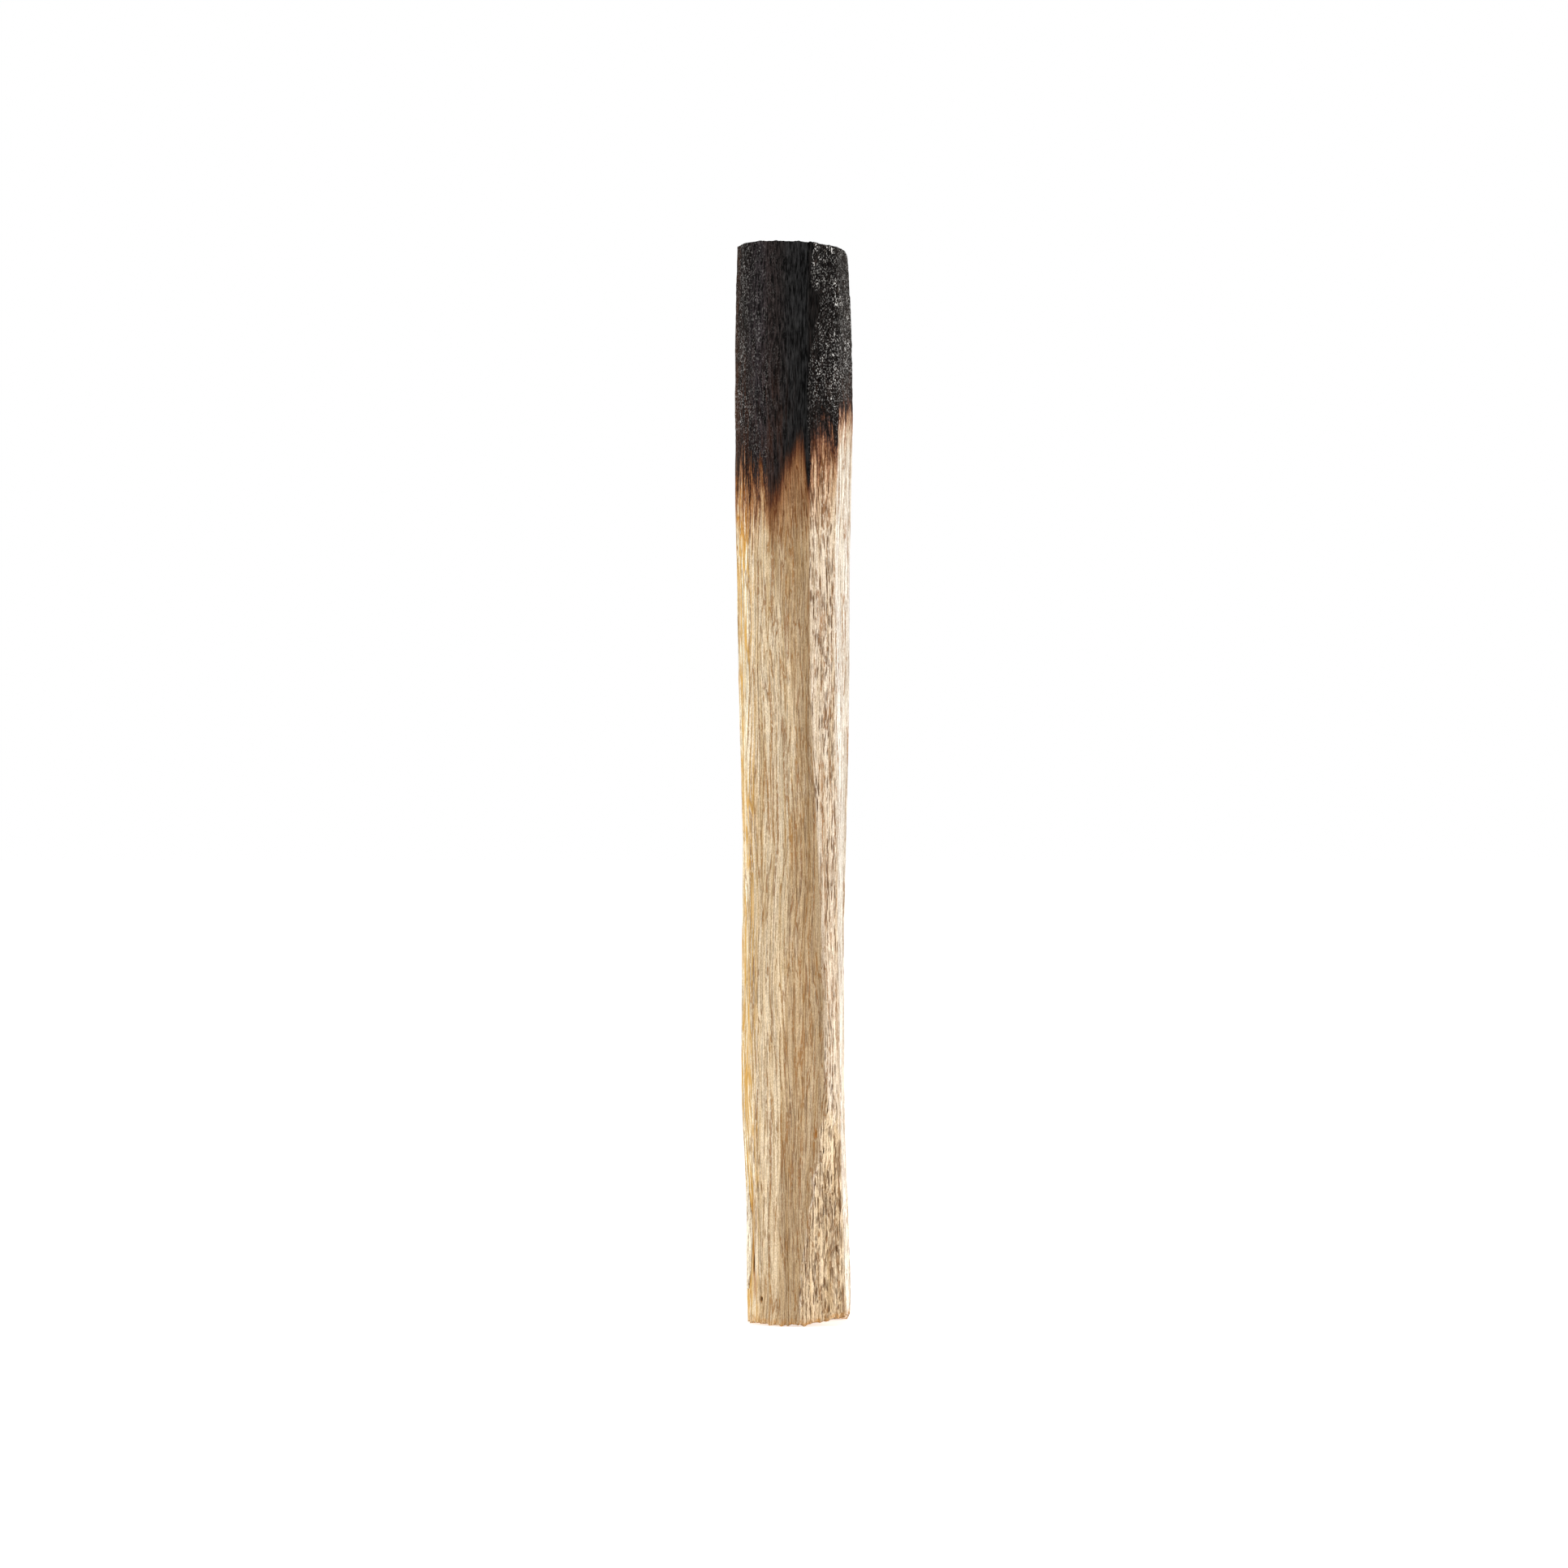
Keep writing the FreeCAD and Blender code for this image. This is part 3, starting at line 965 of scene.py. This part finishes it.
class Graph:
    """Small helper that adds nodes to a material or a world and links them."""

    def __init__(self, owner):
        """Starts on the node tree of a new material or world."""
        owner.use_nodes = True
        self.tree = owner.node_tree

    def fill(self, node, inputs):
        """Sets a node's inputs from numbers, colours or other nodes' outputs."""
        for slot, value in inputs.items():
            if isinstance(value, bpy.types.NodeSocket):
                self.tree.links.new(value, node.inputs[slot])
            else:
                node.inputs[slot].default_value = value

    def node(self, kind, inputs, **settings):
        """The outputs of a new node with these inputs and settings."""
        node = self.tree.nodes.new("ShaderNode" + kind)
        for name, value in settings.items():
            setattr(node, name, value)
        self.fill(node, inputs)
        return node.outputs

    def math(self, kind, first, second=0.0, clamp=False):
        """One calculation with two numbers."""
        return self.node("Math", {0: first, 1: second}, operation=kind, use_clamp=clamp)[0]

    def vector(self, kind, first, second):
        """One calculation with two places."""
        return self.node("VectorMath", {0: first, 1: second}, operation=kind)[0]

    def mix(self, share, first, second, kind="MIX"):
        """Two colours mixed: the first at share 0, the second at share 1."""
        inputs = {0: share, 6: first, 7: second}
        return self.node("Mix", inputs, data_type="RGBA", blend_type=kind)[2]

    def attribute(self, name, output="Fac"):
        """One of the layers that `paint` stores on a piece."""
        return self.node("Attribute", {}, attribute_name=name)[output]

    def grain(self):
        """Object coordinates in mm, bent a little so that the grain wanders."""
        place = self.node("TexCoord", {})["Object"]
        in_mm = self.vector("MULTIPLY", place, (1 / MM,) * 3)
        slow = self.vector("MULTIPLY", in_mm, (0.25, 0.25, 0.06))
        bend = self.node("TexNoise", {"Vector": slow, "Scale": 1.0, "Detail": 1.0})["Color"]
        centred = self.vector("SUBTRACT", bend, (0.5, 0.5, 0.5))
        return self.vector("ADD", in_mm, self.vector("MULTIPLY", centred, (1.6, 1.6, 0.0)))

    def cells(self, place, across, along):
        """The place measured in cells that are `across` wide and `along` tall, in mm."""
        return self.vector("MULTIPLY", place, (1 / across, 1 / across, 1 / along))

    def noise(self, place, across, along, shift=0.0, detail=2.0, roughness=0.6):
        """Noise in such cells, from 0 to 1."""
        moved = self.vector("ADD", self.cells(place, across, along), (shift, shift, shift))
        inputs = {"Vector": moved, "Scale": 1.0, "Detail": detail, "Roughness": roughness}
        return self.node("TexNoise", inputs)["Fac"]

    def spots(self, place, across, along):
        """1 in small even spots, one to a cell."""
        inputs = {"Vector": self.cells(place, across, along), "Scale": 1.0}
        return self.between(self.node("TexVoronoi", inputs)["Distance"], 0.44, 0.30)

    def ramp(self, value, stops):
        """Colour ramp from pairs of place and colour in 0 to 255 values."""
        node = self.tree.nodes.new("ShaderNodeValToRGB")
        elements = node.color_ramp.elements
        while len(elements) < len(stops):
            elements.new(0.5)
        for element, (place, colour) in zip(elements, stops):
            element.position = place
            element.color = (*srgb(colour), 1.0)
        self.fill(node, {0: value})
        return node.outputs[0]

    def ridge(self, place, across, along, width, shift):
        """Thin wandering lines along the grain, where noise crosses its middle value."""
        away = self.math("SUBTRACT", self.noise(place, across, along, shift, 1.0, 0.4), 0.5)
        return self.between(self.math("ABSOLUTE", away), width, 0.35 * width)

    def lines(self, place, *ridges):
        """Two sets of thin lines together, each given by the values for `ridge`."""
        return self.math("MAXIMUM", *[self.ridge(place, *ridge) for ridge in ridges])

    def product(self, first, *others):
        """All the values multiplied together."""
        for other in others:
            first = self.math("MULTIPLY", first, other)
        return first

    def stained(self, colour, *stains):
        """The colour mixed towards each stain (0 to 255 values) in turn, by its shares' product."""
        for stain, *shares in stains:
            colour = self.mix(self.product(*shares), colour, (*srgb(stain), 1.0))
        return colour

    def times(self, colour, factor):
        """The colour multiplied by another colour, or by one number."""
        if isinstance(factor, float):
            factor = (factor, factor, factor, 1.0)
        return self.mix(1.0, colour, factor, "MULTIPLY")

    def between(self, value, low, high):
        """0 at low, 1 at high, clamped."""
        return self.node("MapRange", {"Value": value, "From Min": low, "From Max": high})["Result"]


# How much the stacked wood and soot colours are brightened again.
WOOD_GAIN = 1.26
SOOT_GAIN = 1.7

WHITE = (255, 255, 255)

# What the burn multiplies the wood's colour by, from fresh (0) to black (1).
BURN_RAMP = (
    (0.0, WHITE), (0.25, (238, 222, 208)), (0.50, (202, 168, 144)),
    (0.70, (143, 106, 92)), (0.85, (88, 72, 74)), (1.0, (54, 56, 66)),
)

# Streaks that break up the burn's border: strength, then the values for `Graph.noise`.
BURN_STREAKS = (
    (0.7, 0.30, 9, 23.0),
    (0.9, 0.11, 2.5, 27.0),
    (0.45, 0.08, 0.25, 28.0, 1.0),
)


def fresh_wood(graph, place, torn):
    """Colour of unburnt wood and the height of its lines: bands, veins, vessel dashes."""
    bands = graph.ramp(graph.noise(place, 0.45, 16, 0.0, 3.0),
                       ((0.32, (216, 206, 190)), (0.64, WHITE)))
    speck = graph.ramp(graph.noise(place, 0.08, 0.17, 17.0, 1.0, 0.5),
                       ((0.3, (214, 210, 204)), (0.7, WHITE)))
    colour = graph.times(graph.times(graph.attribute("tint", "Color"), bands), speck)
    pores = graph.attribute("pores")
    mottle = graph.between(graph.noise(place, 0.15, 0.40, 21.0), 0.54, 0.42)
    colour = graph.stained(colour, ((150, 116, 80), mottle, pores, 0.18))

    toasted = graph.between(graph.attribute("burn"), -0.1, 0.4)
    beads = graph.between(graph.noise(place, 0.13, 0.50, 15.0), 0.34, 0.50)
    veins = graph.lines(place, (0.42, 16, 0.038, 3.0), (0.26, 10, 0.030, 4.0))
    veins = graph.product(veins, beads)
    gold = graph.lines(place, (0.46, 40, 0.065, 7.0), (0.30, 24, 0.060, 8.0))
    rows = graph.lines(place, (0.60, 40, 0.10, 9.0), (0.36, 26, 0.08, 10.0))
    dashes = graph.product(rows, graph.spots(place, 0.14, 1.9), pores)
    depth = graph.attribute("marks")
    frayed = graph.between(graph.noise(place, 0.3, 0.4, 19.0), 0.35, 0.6)
    groove_shade_colour = (124, 88, 54) if torn else (160, 126, 92)
    colour = graph.stained(
        graph.times(colour, WOOD_GAIN),
        ((146, 100, 56), veins, 0.80),
        ((92, 54, 28), veins, toasted, 0.6),
        ((212, 158, 60), gold, graph.attribute("amber"), 0.9),
        ((110, 77, 47), dashes, 0.92),
        # Painted shade in the grooves, much stronger on the torn lath.
        (groove_shade_colour, graph.attribute("groove_shade"), 0.15 + 0.55 * torn),
        # Shallow pits and splits get an amber stain; the deeper ones are painted dark brown as shade.
        ((168, 108, 40), graph.between(depth, 0.03, 0.08), 0.8),
        ((58, 38, 22), graph.between(depth, 0.09, 0.16), 0.8),
        ((196, 140, 74), graph.attribute("butt"), frayed, 0.85),
    )
    return colour, graph.math("ADD", graph.product(dashes, -0.6), graph.product(veins, -0.5))


def charred_wood(graph, place):
    """Colour of charcoal and its painted highlights: soot with brown streaks and dark cracks, a grey
    painted sheen and near-white painted glints, which are also where it shines.
    """
    shiny = graph.attribute("glints")
    streaks = graph.ramp(graph.noise(place, 0.14, 1.2, 29.0, 3.0, 0.65),
                         ((0.40, (50, 50, 50)), (0.64, WHITE)))
    colour = graph.times(graph.attribute("soot", "Color"), streaks)
    brown = graph.between(graph.noise(place, 0.22, 3.5, 43.0, 3.0), 0.45, 0.66)
    cracks = graph.ridge(place, 0.30, 2.2, 0.045, 45.0)
    painted_sheen = graph.between(graph.noise(place, 0.09, 0.35, 33.0), 0.48, 0.66)
    raised = graph.between(graph.attribute("raised"), -0.35, 0.9)
    patches = graph.between(graph.noise(place, 0.50, 1.1, 35.0), 0.32, 0.56)
    glint_specks = graph.between(graph.noise(place, 0.11, 0.18, 31.0, 1.0, 0.5), 0.56, 0.62)
    painted_glint_and_shine = graph.product(glint_specks, patches, raised, shiny)
    colour = graph.stained(
        graph.times(colour, SOOT_GAIN),
        ((96, 58, 40), brown, graph.attribute("brown"), 0.6),
        ((12, 10, 10), cracks, shiny, 0.75),
        # Painted highlights: a grey sheen on raised soot and near-white glints on raised crust.
        ((98, 85, 77), painted_sheen, shiny, raised, 0.36),
        ((232, 228, 222), painted_glint_and_shine),
    )
    return colour, painted_glint_and_shine


def stick_material(name, torn=0.0):
    """Wood that goes from fresh to charcoal by the `burn` layer. `torn` deepens the grooves."""
    material = bpy.data.materials.new(name)
    graph = Graph(material)
    place = graph.grain()
    fresh, line_height = fresh_wood(graph, place, torn)
    charred, painted_glint_and_shine = charred_wood(graph, place)

    wander = 0.0
    for share, *cells in BURN_STREAKS:
        streak = graph.math("SUBTRACT", graph.noise(place, *cells), 0.5)
        wander = graph.math("ADD", wander, graph.product(streak, share))
    burnt = graph.attribute("burn")
    wander = graph.product(wander, graph.between(burnt, -0.1, 0.4), graph.attribute("streaky"))
    burnt = graph.math("ADD", burnt, wander, clamp=True)
    colour = graph.times(fresh, graph.ramp(burnt, BURN_RAMP))
    black = graph.between(burnt, 0.78, 1.0)
    # The painted glints also make the charcoal smoother and shinier there.
    shiny = graph.product(painted_glint_and_shine, black)
    shine = graph.math("SUBTRACT", 0.14, graph.product(black, 0.09))

    height = graph.math("ADD", line_height, graph.noise(place, 0.12, 3.0, 37.0, 3.0))
    crust = graph.product(graph.noise(place, 0.20, 0.30, 41.0, 3.0), graph.attribute("crust"))
    height = graph.math("ADD", height, graph.product(crust, 1.8))
    depth = (0.09 + 0.03 * torn) * MM
    bump = graph.node("Bump", {"Strength": 1.0, "Distance": depth, "Height": height})
    graph.fill(graph.tree.nodes["Principled BSDF"], {
        "Base Color": graph.mix(black, colour, charred),
        "Roughness": graph.math("SUBTRACT", 0.85, graph.product(shiny, 0.45)),
        "Specular IOR Level": graph.math("ADD", shine, graph.product(shiny, 0.9)),
        "Normal": bump["Normal"],
    })
    return material


# ------------ the stage

FLOOR_HALF = 3.0
FLOOR_LOOK = {
    "Base Color": (0.85, 0.85, 0.85, 1.0),
    "Roughness": 0.9,
    "Specular IOR Level": 0.0,
    "Emission Color": (1.0, 1.0, 1.0, 1.0),
    "Emission Strength": 0.6,
}

# Soft square lights: place in metres, width in metres and power in watts.
LIGHTS = {
    "key_right": ((0.42, -0.20, 0.13), 0.16, 1.3),
    "fill_left": ((-0.45, -0.14, 0.06), 0.25, 1.2),
}

# The camera looks level at the middle of the stick, from five of its lengths away.
CAMERA_PLACE = (-0.19 * HALF, cad_low.y - 5 * LENGTH, 0.499 * LENGTH)
CAMERA_LENS = 125
CAMERA_SENSOR = 36


def make_floor():
    """Plain pale floor under the butt."""
    half = FLOOR_HALF
    mesh = bpy.data.meshes.new("floor")
    corners = [(-half, -half, 0), (half, -half, 0), (half, half, 0), (-half, half, 0)]
    mesh.from_pydata(corners, [], [(0, 1, 2, 3)])
    floor = placed("floor", mesh)
    floor.location.z = cad_low.z
    material = bpy.data.materials.new("floor_white")
    graph = Graph(material)
    graph.fill(graph.tree.nodes["Principled BSDF"], FLOOR_LOOK)
    mesh.materials.append(material)


def make_light(name, place, size, power):
    """Soft square light aimed at the middle of the stick."""
    lamp = bpy.data.lights.new(name, "AREA")
    lamp.size = size
    lamp.energy = power
    light = placed(name, lamp)
    light.location = place
    aim = Vector((0, 0, LENGTH / 2)) - light.location
    light.rotation_euler = aim.to_track_quat("-Z", "Y").to_euler()


def make_surroundings():
    """White world: plain white to the camera, and a little dimmer as light from the front."""
    world = bpy.data.worlds.new("studio")
    graph = Graph(world)
    way = graph.node("TexCoord", {})["Generated"]
    to_back = graph.node("SeparateXYZ", {0: way})["Y"]
    light = graph.node("MapRange", {"Value": to_back, "From Min": -1.0, "From Max": 0.6,
                                    "To Min": 0.36, "To Max": 0.78})["Result"]
    seen = graph.node("LightPath", {})["Is Camera Ray"]
    strength = graph.node("Mix", {0: seen, 2: light, 3: 1.0})[0]
    background = graph.tree.nodes["Background"]
    graph.fill(background, {"Color": (1, 1, 1, 1), "Strength": strength})
    bpy.context.scene.world = world


def make_stage():
    """White surroundings, soft lights on both sides, and the camera."""
    scene = bpy.context.scene
    make_surroundings()
    scene.view_settings.view_transform = "Standard"
    for name, (place, size, power) in LIGHTS.items():
        make_light(name, place, size, power)

    lens = bpy.data.cameras.new("camera")
    lens.lens = CAMERA_LENS
    lens.sensor_width = CAMERA_SENSOR
    lens.clip_start = 0.01
    camera = placed("camera", lens)
    camera.location = CAMERA_PLACE
    camera.rotation_euler = (math.radians(90), 0, 0)
    scene.camera = camera


# ------------ build

wood = stick_material("stick_wood")
torn_wood = stick_material("torn_fibres", torn=1.0)
for piece, material, look in (
    (make_sound_wood(), wood, "plain"),
    (make_scorched_wood(), wood, "plain"),
    (make_charcoal_end(), wood, "plain"),
    (make_torn_lath(), torn_wood, "torn"),
    (make_splinters(), wood, "plain"),
    (make_char_flakes(), wood, "plain"),
    (make_edge_sliver(), wood, "pale"),
):
    paint(piece, look)
    piece.data.materials.append(material)
make_floor()
make_stage()
